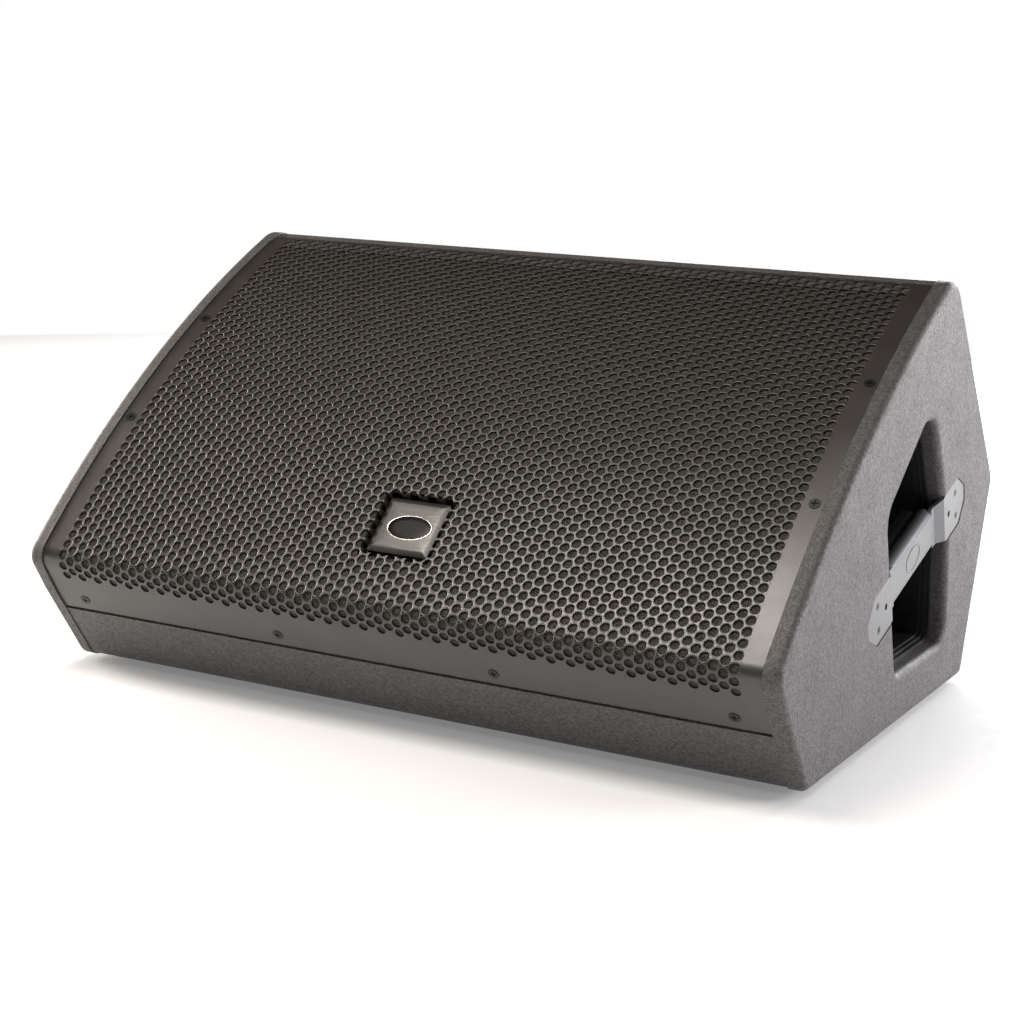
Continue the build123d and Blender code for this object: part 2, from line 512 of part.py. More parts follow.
# --------------------------------------------------- feet, battens and lining
FEET = [(x, y) for x in (-290.0, 290.0) for y in (58.0, 345.0)]
foot = turned((0, -FOOT_H), (16, -FOOT_H), (19, 0.5), (0, 0.5)) - tube(9, 0, -FOOT_H - 1, -FOOT_H + 2.4)
f_screw = Pos(0, 0, -FOOT_H + 2.4) * Rot(180, 0, 0) * pan_screw(5.0, 1.6, 2.2, 14)
f_screws = [Pos(x, y, 0) * f_screw for x, y in FEET]
feet = [less(Pos(x, y, 0) * foot, f_screws) for x, y in FEET]
floor_board = less(floor_board, f_screws)
add("feet", Compound(feet))
add("foot_screws", Compound(f_screws))

inner_rear = corner(REAR, bt + 1, bt + 1)
du, dl = unit(V[REAR], V[CROWN]), unit(V[REAR], V[HEEL])
batten_b = slab(yz_face([inner_rear, (inner_rear[0] + du[0] * 24, inner_rear[1] + du[1] * 24), (inner_rear[0] + dl[0] * 24, inner_rear[1] + dl[1] * 24)]), -300, 300)
heel_in = corner(HEEL, bt, bt + 1)
hu = unit(V[HEEL], V[REAR])
batten_c = slab(yz_face([heel_in, (heel_in[0] + hu[0] * 24, heel_in[1] + hu[1] * 24), (heel_in[0] - 24, heel_in[1])]), -300, 300)
add("corner_battens", Compound([batten_b, batten_c]))

la, lb = edge_line(REAR_UP, bt + 1 + SEAT)
d = unit(la, lb)
nn = (-d[1], d[0])
lining = slab(yz_face([(la[0] + d[0] * 50, la[1] + d[1] * 50), (la[0] + d[0] * 190, la[1] + d[1] * 190), (la[0] + d[0] * 190 + nn[0] * 16, la[1] + d[1] * 190 + nn[1] * 16), (la[0] + d[0] * 50 + nn[0] * 16, la[1] + d[1] * 50 + nn[1] * 16)]), -260, 260)
add("damping_lining", lining)

add("floor_board", floor_board)
add("front_board", front_low)
add("rear_lower_board", rear_low)
add("rear_upper_board", rear_up)
add("top_rail", top_rail)
add("baffle", baffle)

# ------------------------------------------------------- common frame, export
box = panel.bounding_box()
MOVE = Pos(0, -(box.min.Y + box.max.Y) / 2, FOOT_H)
for name, shape in NODES.items():
    export_step(MOVE * shape, "parts/" + name + ".step")
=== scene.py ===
"""Stage monitor wedge: the visual model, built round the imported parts.

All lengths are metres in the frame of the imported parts: X runs across the
cabinet, Y from its front to its back and Z upwards.
"""
import logging
import math
from dataclasses import dataclass, field
from enum import Enum

import bpy
import numpy as np
from mathutils import Matrix, Vector
from mathutils.geometry import delaunay_2d_cdt


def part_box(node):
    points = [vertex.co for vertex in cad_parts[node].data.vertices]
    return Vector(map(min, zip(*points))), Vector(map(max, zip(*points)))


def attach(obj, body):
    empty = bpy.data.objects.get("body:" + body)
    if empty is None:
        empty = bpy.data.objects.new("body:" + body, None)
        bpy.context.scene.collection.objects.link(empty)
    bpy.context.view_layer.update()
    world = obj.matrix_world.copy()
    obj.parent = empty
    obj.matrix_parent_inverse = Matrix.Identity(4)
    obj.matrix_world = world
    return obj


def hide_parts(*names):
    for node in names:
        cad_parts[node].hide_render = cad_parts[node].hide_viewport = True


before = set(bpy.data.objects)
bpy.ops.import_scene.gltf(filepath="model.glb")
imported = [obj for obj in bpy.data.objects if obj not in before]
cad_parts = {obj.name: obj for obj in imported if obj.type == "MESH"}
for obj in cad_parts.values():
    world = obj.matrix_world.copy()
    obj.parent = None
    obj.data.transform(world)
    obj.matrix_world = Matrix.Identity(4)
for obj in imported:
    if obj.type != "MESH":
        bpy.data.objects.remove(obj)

LOG = logging.getLogger("wedge")
MM = 0.001

Colour = tuple[float, float, float]
Array = np.ndarray


# ------------------------------------------------------------------ shader maths
class Wire:
    """A shader value that takes part in Python arithmetic.

    Each operator adds one Math node to the graph that the value belongs to.
    """

    def __init__(self, graph: "Graph", socket: bpy.types.NodeSocket) -> None:
        """Wrap one output socket of a graph."""
        self.graph, self.socket = graph, socket

    def _math(self, operation: str, *values: "Wire | float") -> "Wire":
        """Add a Math node on these values and return its result."""
        made = self.graph.node("ShaderNodeMath", {"operation": operation}, dict(enumerate(values)))
        return made[0]

    def __add__(self, other: "Wire | float") -> "Wire":
        """Sum."""
        return self._math("ADD", self, other)

    def __radd__(self, other: float) -> "Wire":
        """Sum with the value on the right."""
        return self._math("ADD", other, self)

    def __sub__(self, other: "Wire | float") -> "Wire":
        """Difference."""
        return self._math("SUBTRACT", self, other)

    def __rsub__(self, other: float) -> "Wire":
        """Difference with the value on the right."""
        return self._math("SUBTRACT", other, self)

    def __mul__(self, other: "Wire | float") -> "Wire":
        """Product."""
        return self._math("MULTIPLY", self, other)

    def __rmul__(self, other: float) -> "Wire":
        """Product with the value on the right."""
        return self._math("MULTIPLY", other, self)

    def least(self, other: "Wire | float") -> "Wire":
        """The smaller of two values."""
        return self._math("MINIMUM", self, other)

    def size(self) -> "Wire":
        """The value without its sign."""
        return self._math("ABSOLUTE", self)

    def below(self, limit: float) -> "Wire":
        """1 where the value is less than the limit, and 0 elsewhere."""
        return self._math("LESS_THAN", self, limit)

    def sine(self) -> "Wire":
        """Sine of the value."""
        return self._math("SINE", self)

    def root(self) -> "Wire":
        """Square root of the value."""
        return self._math("SQRT", self)

    def off_centre(self) -> "Wire":
        """Signed distance to the nearest whole number."""
        return self - self._math("ROUND", self)

    def eased(self, low: float, high: float) -> "Wire":
        """Rise smoothly from 0 at low to 1 at high."""
        made = self.graph.node(
            "ShaderNodeMapRange",
            {"interpolation_type": "SMOOTHSTEP"},
            {"Value": self, "From Min": low, "From Max": high},
        )
        return made["Result"]


class Outputs:
    """The outputs of a node that has just been made."""

    def __init__(self, graph: "Graph", node: bpy.types.Node) -> None:
        """Keep the node and its graph."""
        self.graph, self.made = graph, node

    def __getitem__(self, key: str | int) -> Wire:
        """One output by name or place."""
        return Wire(self.graph, self.made.outputs[key])


class Graph:
    """The node tree of one material."""

    def __init__(self, name: str) -> None:
        """Start an empty tree.

        Args:
            name: Name of the material.
        """
        self.material = bpy.data.materials.new(name)
        self.material.use_nodes = True
        self.tree = self.material.node_tree
        self.tree.nodes.clear()

    def node(self, kind: str, settings: dict | None = None, sockets: dict | None = None) -> Outputs:
        """Add one node.

        Args:
            kind: Blender's type of the node.
            settings: Properties set first; "stops" holds a ramp's positions and colours.
            sockets: Input values or wires, by name or place.

        Returns:
            The node's outputs.
        """
        node = self.tree.nodes.new(kind)
        for key, value in (settings or {}).items():
            if key == "stops":
                self._set_stops(node.color_ramp, value)
            else:
                setattr(node, key, value)
        for key, value in (sockets or {}).items():
            if isinstance(value, Wire):
                self.tree.links.new(value.socket, node.inputs[key])
            else:
                node.inputs[key].default_value = value
        return Outputs(self, node)

    @staticmethod
    def _set_stops(ramp: bpy.types.ColorRamp, stops: list[tuple[float, Colour]]) -> None:
        """Give a ramp these stops."""
        for place, (position, colour) in enumerate(stops):
            stop = ramp.elements[place] if place < 2 else ramp.elements.new(position)
            stop.position, stop.color = position, (*colour, 1.0)

    def place(self, scale: tuple[float, float, float] = (1, 1, 1)) -> Wire:
        """Object coordinates, scaled along each axis."""
        spot = self.node("ShaderNodeTexCoord")["Object"]
        return self.node("ShaderNodeMapping", {}, {"Vector": spot, "Scale": scale})["Vector"]

    def axes(self, vector: Wire) -> tuple[Wire, Wire, Wire]:
        """The three parts of a vector."""
        parts = self.node("ShaderNodeSeparateXYZ", {}, {"Vector": vector})
        return parts["X"], parts["Y"], parts["Z"]

    def noise(self, at: Wire, scale: float = 1.0, detail: float = 2.0, roughness: float = 0.5) -> Wire:
        """Soft noise from 0 to 1."""
        sockets = {"Vector": at, "Scale": scale, "Detail": detail, "Roughness": roughness}
        return self.node("ShaderNodeTexNoise", {}, sockets)["Fac"]

    def cells(self, at: Wire, scale: float = 1.0) -> Wire:
        """Distance to the nearest cell centre."""
        return self.node("ShaderNodeTexVoronoi", {}, {"Vector": at, "Scale": scale})["Distance"]

    def mix(self, share: Wire, first: Colour | Wire, second: Colour | Wire) -> Wire:
        """Colour between two colours."""
        ends = [c if isinstance(c, Wire) else (*c, 1.0) for c in (first, second)]
        made = self.node("ShaderNodeMix", {"data_type": "RGBA"}, {0: share, 6: ends[0], 7: ends[1]})
        return made[2]

    def bump(self, height: Wire, depth: float, under: Wire | None = None) -> Wire:
        """Normal of a relief whose height runs from 0 to 1 over depth metres."""
        sockets = {"Height": height, "Distance": depth, "Strength": 1.0}
        if under is not None:
            sockets["Normal"] = under
        return self.node("ShaderNodeBump", {}, sockets)["Normal"]

    def surface(self, **sockets: "Wire | float | tuple") -> bpy.types.Material:
        """Finish the tree with one Principled shader and return the material."""
        named = {key.replace("_", " "): value for key, value in sockets.items()}
        shader = self.node("ShaderNodeBsdfPrincipled", {}, named)
        self.node("ShaderNodeOutputMaterial", {}, {"Surface": shader["BSDF"]})
        return self.material


# ---------------------------------------------------------------------- finishes
class Pattern(Enum):
    """How a finish varies over its surface."""

    GRAIN = "even grain"
    BRUSHED = "fine parallel scratches"
    CELLS = "round cells"
    VENEER = "wood figure"
    TURNS = "turns of wire"
    WEAVE = "woven threads"


@dataclass(frozen=True)
class Finish:
    """A finish made of two colours, a pattern between them and its own relief.

    Attributes:
        name: Name of the material.
        dark: Colour in the hollows.
        light: Colour on the tops.
        grain: Size of one grain.
        rough: Roughness in the hollows and on the tops.
        relief: Height of the tops over the hollows.
        metallic: Share of metal.
        coat: Weight of a clear coat.
        pattern: How the finish varies.
        stretch: Scale of the pattern along X, Y and Z.
        contrast: Width of the noise band that is spread over the two colours.
        glow: Strength of the light that the finish gives off.
        shine: Specular level.
    """

    name: str
    dark: Colour
    light: Colour
    grain: float = 1.5 * MM
    rough: tuple[float, float] = (0.5, 0.4)
    relief: float = 0.05 * MM
    metallic: float = 0.0
    coat: float = 0.0
    pattern: Pattern = Pattern.GRAIN
    stretch: Colour = (1.0, 1.0, 1.0)
    contrast: float = 0.4
    glow: float = 0.0
    shine: float = 0.5

    def tops(self, graph: Graph) -> Wire:
        """Height of the surface from 0 in the hollows to 1 on the tops.

        Args:
            graph: The material's graph.

        Returns:
            The pattern's value.
        """
        scale = tuple(part / self.grain for part in self.stretch)
        at = graph.place(scale)
        if self.pattern is Pattern.CELLS:
            return graph.cells(at).eased(0.1, 0.7)
        if self.pattern is Pattern.TURNS:
            _, _, z = graph.axes(at)
            return z.sine() * 0.5 + 0.5
        if self.pattern is Pattern.WEAVE:
            x, y, z = graph.axes(at)
            return (x.sine() * (y + z).sine()) * 0.5 + 0.5
        if self.pattern is Pattern.VENEER:
            return graph.noise(at, 1.0, 5.0, 0.6).eased(0.3, 0.7)
        half = self.contrast / 2
        return graph.noise(at, 1.0, 3.0, 0.6).eased(0.5 - half, 0.5 + half)

    def wear(self, graph: Graph) -> Wire:
        """Slow change of gloss over the whole piece, from 0 to 1."""
        return graph.noise(graph.place((28.0, 28.0, 28.0)), 1.0, 2.0, 0.5).eased(0.3, 0.7)

    def material(self) -> bpy.types.Material:
        """The Blender material of this finish, made once."""
        title = "wedge_" + self.name
        known = bpy.data.materials.get(title)
        return known if known else self.build(Graph(title))

    def build(self, graph: Graph) -> bpy.types.Material:
        """Wire the pattern to colour, roughness and relief.

        Args:
            graph: An empty graph.

        Returns:
            The finished material.
        """
        tops, wear = self.tops(graph), self.wear(graph)
        low, high = self.rough
        return graph.surface(
            Base_Color=graph.mix(tops, self.dark, self.light),
            Roughness=tops * (high - low) + low + (wear - 0.5) * 0.08,
            Metallic=self.metallic,
            Coat_Weight=self.coat,
            Coat_Roughness=0.15,
            Emission_Color=(1.0, 1.0, 1.0, 1.0),
            Emission_Strength=self.glow,
            Specular_IOR_Level=self.shine,
            Normal=graph.bump(tops, self.relief),
        )


@dataclass(frozen=True)
class SprayedPaint(Finish):
    """Speckled cabinet paint: small hard blobs over a coarser orange peel."""

    blob: float = 3.6 * MM

    def tops(self, graph: Graph) -> Wire:
        """Fine blobs mixed with a coarser swell."""
        fine = graph.noise(graph.place((1 / self.grain,) * 3), 1.0, 2.0, 0.55)
        coarse = graph.noise(graph.place((1 / self.blob,) * 3), 1.0, 1.0, 0.5)
        half = self.contrast / 2
        return (fine * 0.68 + coarse * 0.32).eased(0.5 - half, 0.5 + half)


@dataclass(frozen=True)
class PowderCoat(Finish):
    """Satin powder coat that rounds over the rim of every punched hole.

    The piece's UV map counts holes: U is in double columns and V in rows, so
    hole centres are at whole numbers, and at whole numbers plus a half.
    """

    hole: float = 4.2 * MM
    pitch: tuple[float, float] = (17.172 * MM, 9.931 * MM)
    half_width: float = 321.9 * MM
    rows: float = 47.0
    rim: float = 0.55 * MM

    def _reach(self, u: Wire, v: Wire, shift: float) -> Wire:
        """Distance from the nearest hole centre of one of the two hole sets."""
        across = (u + shift).off_centre() * self.pitch[0]
        along = (v + shift).off_centre() * self.pitch[1]
        return (across * across + along * along).root()

    def build(self, graph: Graph) -> bpy.types.Material:
        """Orange peel and rounded rims under one satin colour."""
        u, v, _ = graph.axes(graph.node("ShaderNodeTexCoord")["UV"])
        reach = self._reach(u, v, 0.0).least(self._reach(u, v, 0.5))
        x, _, _ = graph.axes(graph.place())
        perforated = x.size().below(self.half_width) * v.below(self.rows)
        rim = 1.0 - (1.0 - reach.eased(self.hole - 0.05 * MM, self.hole + self.rim)) * perforated
        tops, wear = self.tops(graph), self.wear(graph)
        low, high = self.rough
        return graph.surface(
            Base_Color=graph.mix(tops, self.dark, self.light),
            Roughness=tops * (high - low) + low + (wear - 0.5) * 0.05,
            Specular_IOR_Level=self.shine,
            Normal=graph.bump(tops, self.relief, graph.bump(rim, 0.22 * MM)),
        )


@dataclass(frozen=True)
class OpenFoam(Finish):
    """Reticulated foam: light threads round dark open pores."""

    def tops(self, graph: Graph) -> Wire:
        """Threads between pores, broken up by noise."""
        at = graph.place((1 / self.grain,) * 3)
        pores = graph.cells(at).eased(0.2, 0.75)
        return (pores * 0.6 + graph.noise(at, 0.8, 2.0, 0.6) * 0.8 - 0.15).eased(0.15, 0.75)


class Paint(Enum):
    """The finishes of this wedge."""

    CABINET = SprayedPaint(
        "cabinet_paint", (0.048, 0.0445, 0.044), (0.122, 0.116, 0.114),
        1.5 * MM, (0.56, 0.44), 0.22 * MM, contrast=0.32,
    )
    GRILLE = PowderCoat(
        "grille_powder_coat", (0.023, 0.0185, 0.0165), (0.033, 0.027, 0.024),
        0.7 * MM, (0.42, 0.35), 0.010 * MM, shine=1.0,
    )
    FOAM = OpenFoam(
        "grille_foam", (0.003, 0.0025, 0.002), (0.080, 0.070, 0.059),
        0.95 * MM, (0.95, 0.85), 0.45 * MM,
    )
    PLYWOOD = Finish(
        "birch_plywood", (0.36, 0.25, 0.14), (0.62, 0.47, 0.30),
        4 * MM, (0.7, 0.6), 0.05 * MM, pattern=Pattern.VENEER, stretch=(0.06, 1.0, 1.0),
    )
    BLACK_WOOD = Finish(
        "black_stained_wood", (0.012, 0.011, 0.010), (0.030, 0.027, 0.025),
        3 * MM, (0.7, 0.55), 0.08 * MM, pattern=Pattern.VENEER, stretch=(0.08, 1.0, 1.0),
    )
    WADDING = Finish(
        "damping_wadding", (0.20, 0.19, 0.17), (0.55, 0.53, 0.48),
        2.2 * MM, (1.0, 0.9), 0.8 * MM, stretch=(0.4, 1.0, 1.0),
    )
    BLACK_SCREW = Finish(
        "black_screw", (0.012, 0.011, 0.011), (0.045, 0.041, 0.039),
        0.5 * MM, (0.42, 0.32), 0.02 * MM, metallic=0.5,
    )
    ZINC = Finish(
        "zinc_steel", (0.42, 0.41, 0.38), (0.62, 0.61, 0.57),
        0.8 * MM, (0.42, 0.3), 0.01 * MM, metallic=1.0,
    )
    BADGE = Finish(
        "brushed_badge", (0.075, 0.073, 0.071), (0.130, 0.127, 0.123),
        0.30 * MM, (0.46, 0.36), 0.006 * MM, metallic=1.0, stretch=(0.02, 1.0, 1.0), contrast=0.5,
    )
    POLISHED_RING = Finish(
        "polished_ring", (0.60, 0.58, 0.52), (0.78, 0.75, 0.68),
        0.6 * MM, (0.25, 0.16), 0.003 * MM, metallic=1.0,
    )
    ENAMEL = Finish(
        "black_enamel", (0.004, 0.0035, 0.0035), (0.008, 0.007, 0.007),
        1.5 * MM, (0.32, 0.26), 0.004 * MM, shine=0.15,
    )
    HANDLE = Finish(
        "handle_steel", (0.150, 0.150, 0.155), (0.200, 0.200, 0.207),
        0.6 * MM, (0.38, 0.30), 0.015 * MM, metallic=0.3,
    )
    GRIP = Finish(
        "rubber_grip", (0.016, 0.015, 0.016), (0.040, 0.037, 0.040),
        0.9 * MM, (0.5, 0.38), 0.05 * MM,
    )
    CUP = Finish(
        "recess_plastic", (0.006, 0.005, 0.005), (0.018, 0.016, 0.016),
        0.8 * MM, (0.5, 0.36), 0.04 * MM,
    )
    BASKET = Finish(
        "cast_basket", (0.020, 0.020, 0.021), (0.050, 0.050, 0.052),
        1.2 * MM, (0.6, 0.45), 0.06 * MM, metallic=0.4,
    )
    GASKET = Finish(
        "gasket_rubber", (0.010, 0.010, 0.010), (0.024, 0.023, 0.022),
        0.9 * MM, (0.8, 0.6), 0.05 * MM,
    )
    CONE = Finish(
        "paper_cone", (0.018, 0.017, 0.016), (0.050, 0.046, 0.042),
        1.6 * MM, (0.9, 0.75), 0.12 * MM, stretch=(1.0, 0.6, 1.0),
    )
    SURROUND = Finish(
        "doped_cloth_surround", (0.012, 0.011, 0.011), (0.032, 0.030, 0.028),
        0.28 * MM, (0.62, 0.5), 0.06 * MM, pattern=Pattern.WEAVE,
    )
    SPIDER = Finish(
        "spider_cloth", (0.42, 0.28, 0.12), (0.66, 0.47, 0.22),
        0.25 * MM, (0.9, 0.8), 0.08 * MM, pattern=Pattern.WEAVE,
    )
    FERRITE = Finish(
        "ferrite", (0.020, 0.020, 0.021), (0.044, 0.043, 0.043),
        1.0 * MM, (0.75, 0.6), 0.05 * MM,
    )
    COPPER = Finish(
        "enamelled_copper", (0.35, 0.12, 0.05), (0.72, 0.32, 0.15),
        0.16 * MM, (0.35, 0.22), 0.08 * MM, metallic=1.0, pattern=Pattern.TURNS,
    )
    POLYIMIDE = Finish(
        "coil_polyimide", (0.42, 0.16, 0.03), (0.60, 0.26, 0.06),
        1.5 * MM, (0.35, 0.25), 0.01 * MM, coat=0.4,
    )
    HORN = Finish(
        "horn_moulding", (0.012, 0.012, 0.012), (0.028, 0.027, 0.026),
        0.7 * MM, (0.5, 0.42), 0.03 * MM,
    )
    TITANIUM = Finish(
        "titanium", (0.45, 0.43, 0.40), (0.60, 0.58, 0.55),
        0.5 * MM, (0.3, 0.2), 0.004 * MM, metallic=1.0, pattern=Pattern.BRUSHED, stretch=(0.05, 1.0, 1.0),
    )
    DRIVER_COVER = Finish(
        "driver_cover_plastic", (0.015, 0.014, 0.014), (0.034, 0.032, 0.032),
        0.9 * MM, (0.6, 0.5), 0.04 * MM,
    )
    CIRCUIT = Finish(
        "circuit_board", (0.010, 0.085, 0.030), (0.030, 0.180, 0.070),
        3.0 * MM, (0.4, 0.3), 0.02 * MM, coat=0.3, pattern=Pattern.CELLS,
    )
    NYLON = Finish(
        "nylon", (0.60, 0.58, 0.52), (0.74, 0.72, 0.66),
        1.2 * MM, (0.5, 0.42), 0.02 * MM,
    )
    CAPACITOR = Finish(
        "capacitor_film", (0.40, 0.30, 0.04), (0.66, 0.52, 0.10),
        1.1 * MM, (0.35, 0.25), 0.02 * MM, coat=0.4,
    )
    CERAMIC = Finish(
        "ceramic_white", (0.62, 0.61, 0.57), (0.80, 0.79, 0.76),
        0.8 * MM, (0.8, 0.7), 0.04 * MM,
    )
    PLATE = Finish(
        "connector_steel", (0.016, 0.015, 0.015), (0.036, 0.034, 0.033),
        0.8 * MM, (0.5, 0.4), 0.03 * MM, metallic=0.3,
    )
    JACK = Finish(
        "jack_nylon", (0.010, 0.010, 0.010), (0.026, 0.025, 0.025),
        0.6 * MM, (0.45, 0.35), 0.02 * MM,
    )
    RUBBER_FOOT = Finish(
        "rubber_foot", (0.010, 0.010, 0.010), (0.030, 0.029, 0.028),
        0.9 * MM, (0.85, 0.7), 0.06 * MM,
    )
    PALE_FLOOR = Finish(
        "pale_floor", (0.86, 0.86, 0.86), (0.90, 0.90, 0.90),
        12 * MM, (0.9, 0.8), 0.02 * MM, glow=0.18,
    )

    @property
    def material(self) -> bpy.types.Material:
        """The Blender material of this finish."""
        return self.value.material()


# ------------------------------------------------------------------ mesh helpers
def show(name: str, points: Array, faces: list[list[int]], paint: Paint) -> bpy.types.Object:
    """Put a mesh in the scene.

    Args:
        name: Name of the piece.
        points: Vertices, one row each.
        faces: Vertex numbers of each face, turning left seen from outside.
        paint: Its finish.

    Returns:
        The new object, at the origin.
    """
    mesh = bpy.data.meshes.new(name)
    mesh.from_pydata(points.tolist(), [], faces)
    mesh.materials.append(paint.material)
    piece = bpy.data.objects.new(name, mesh)
    bpy.context.scene.collection.objects.link(piece)
    return piece


def skin(rows: Array) -> tuple[Array, list[list[int]]]:
    """Close a stack of rings into one solid skin.

    Neighbouring rings are joined by quads, and a point at the mean of the
    first and of the last ring closes each end with a fan.

    Args:
        rows: Ring points as (ring, point, 3). Rings turn left seen from outside the last one.

    Returns:
        Vertices and faces.
    """
    count, around = rows.shape[:2]
    number = np.arange(count * around).reshape(count, around)
    after = np.roll(number, -1, axis=1)
    walls = np.stack([number[:-1], after[:-1], after[1:], number[1:]], axis=-1).reshape(-1, 4)
    first, last = count * around, count * around + 1
    low = np.stack([after[0], number[0], np.full(around, first)], axis=-1)
    high = np.stack([number[-1], after[-1], np.full(around, last)], axis=-1)
    points = np.vstack([rows.reshape(-1, 3), rows[0].mean(0), rows[-1].mean(0)])
    return points, walls.tolist() + low.tolist() + high.tolist()


def smooth(piece: bpy.types.Object, degrees: float = 32.0) -> None:
    """Shade a piece smooth except over edges sharper than this."""
    piece.data.shade_smooth()
    piece.data.set_sharp_from_angle(angle=math.radians(degrees))


def unit(vectors: Array) -> Array:
    """Vectors at length one."""
    return vectors / np.maximum(np.linalg.norm(vectors, axis=-1, keepdims=True), 1e-12)


def rounded_square(half: float, radius: float, steps: int = 6) -> Array:
    """Outline of a square with round corners, turning left from its right side.

    Args:
        half: Half of the side.
        radius: Radius of the corners.
        steps: Points on each corner, less one.

    Returns:
        Points as (x, y) rows: each corner's centre plus the radius turned through a quarter.
    """
    turn = np.linspace(0, math.pi / 2, steps + 1) + np.arange(4)[:, None] * math.pi / 2
    centre = (half - radius) * np.array([(1, 1), (-1, 1), (-1, -1), (1, -1)], float)
    arc = np.stack([np.cos(turn), np.sin(turn)], axis=-1) * radius
    return (centre[:, None] + arc).reshape(-1, 2)


@dataclass
class Sheet:
    """A sheet of even thickness laid on a curved face.

    Attributes:
        top: Outer points.
        bottom: Inner points, one for each outer point.
        outwards: Direction out of the face at each outer point.
        inwards: Direction into the cabinet at each inner point.
        faces: Outer faces, turning left seen from outside.
    """

    top: Array
    bottom: Array
    outwards: Array
    inwards: Array
    faces: Array

    def rim(self) -> Array:
        """Edges that belong to one face only, in that face's direction."""
        ends = np.stack([self.faces, np.roll(self.faces, -1, axis=1)], axis=-1).reshape(-1, 2)
        key = np.sort(ends, axis=1) @ np.array([len(self.top), 1])
        _, place, uses = np.unique(key, return_index=True, return_counts=True)
        return ends[place[uses == 1]]

    def build(self, name: str, paint: Paint, marks: Array | None = None) -> bpy.types.Object:
        """Make the closed sheet with true normals.

        The wall along a rim edge looks along edge x outwards, averaged over the
        edges that meet in a point unless they meet in a corner.

        Args:
            name: Name of the piece.
            paint: Its finish.
            marks: UV of each outer point.

        Returns:
            The piece.
        """
        many, rim = len(self.top), self.rim()
        walls = np.stack([rim[:, 0], rim[:, 0] + many, rim[:, 1] + many, rim[:, 1]], axis=-1)
        under = self.faces[:, ::-1] + many
        points = np.vstack([self.top, self.bottom])
        piece = show(name, points, self.faces.tolist() + under.tolist() + walls.tolist(), paint)
        look = unit(np.cross(points[rim[:, 1]] - points[rim[:, 0]], self.outwards[rim[:, 0]]))
        shared = np.zeros((many, 3))
        np.add.at(shared, rim.ravel(), np.repeat(look, 2, axis=0))
        ends = unit(shared)[rim]
        corner = (ends * look[:, None]).sum(-1) < math.cos(math.radians(35))
        ends = np.where(corner[..., None], look[:, None], ends)
        wall_look = np.stack([ends[:, 0], ends[:, 0], ends[:, 1], ends[:, 1]], axis=1)
        parts = (self.outwards[self.faces], self.inwards[under - many], wall_look)
        looks = np.vstack([part.reshape(-1, 3) for part in parts])
        piece.data.shade_smooth()
        piece.data.normals_split_custom_set(looks.tolist())
        if marks is not None:
            order = np.zeros(len(piece.data.loops), np.int32)
            piece.data.loops.foreach_get("vertex_index", order)
            layer = piece.data.uv_layers.new(name="holes")
            layer.uv.foreach_set("vector", np.vstack([marks, marks])[order].ravel().astype(np.float32))
        return piece


